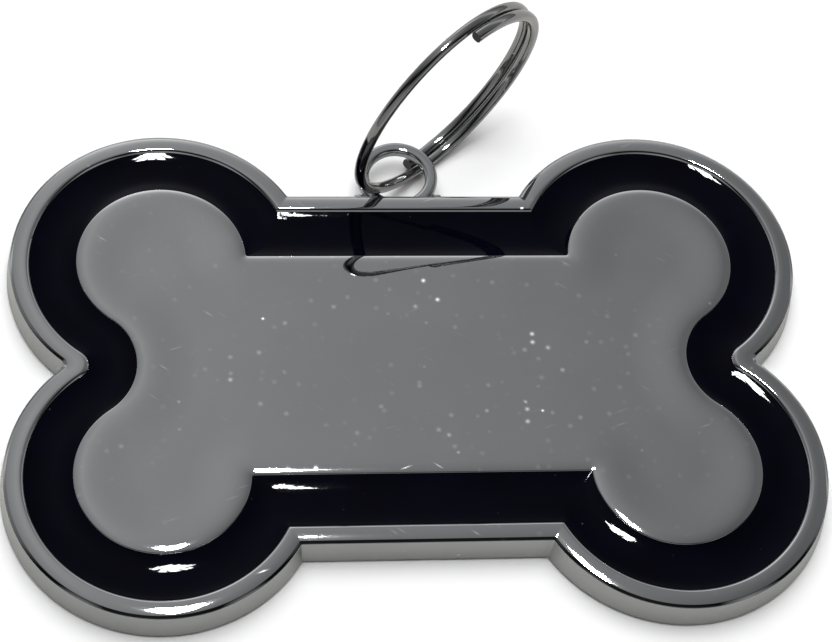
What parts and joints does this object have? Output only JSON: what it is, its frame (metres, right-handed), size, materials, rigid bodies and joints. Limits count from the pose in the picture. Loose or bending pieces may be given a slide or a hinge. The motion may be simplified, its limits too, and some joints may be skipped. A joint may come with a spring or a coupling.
{
  "type": "pet id tag",
  "caption": "Bone-shaped metal pet tag with a rounded rim, black enamel channel, polished blank name plate, cast hanging loop and a split ring that swings in the loop.",
  "frame": {"origin": "middle of the tag's flat back, under the crossing of the bone's two lines of symmetry", "axes": "+X along the bone, +Y towards the hanging loop, +Z out of the face"},
  "size_m": [0.0384, 0.0291, 0.0118],
  "materials": {
    "chrome_plating": "polished plating with fine scratches",
    "black_enamel": "glossy poured enamel",
    "ring_steel": "bright nickel-plated spring steel"
  },
  "bodies": {
    "tag": {"tag_casting": "chrome_plating", "enamel_inlay": "black_enamel"},
    "ring": {"split_ring": "ring_steel"}
  },
  "joints": [
    {"name": "ring_swing", "type": "hinge", "parent": "tag", "child": "ring", "pos_m": [0.00102, 0.01179, 0.00116], "axis": [-0.6564, 0.7498, 0.0837], "range_deg": [0, 150]}
  ]
}
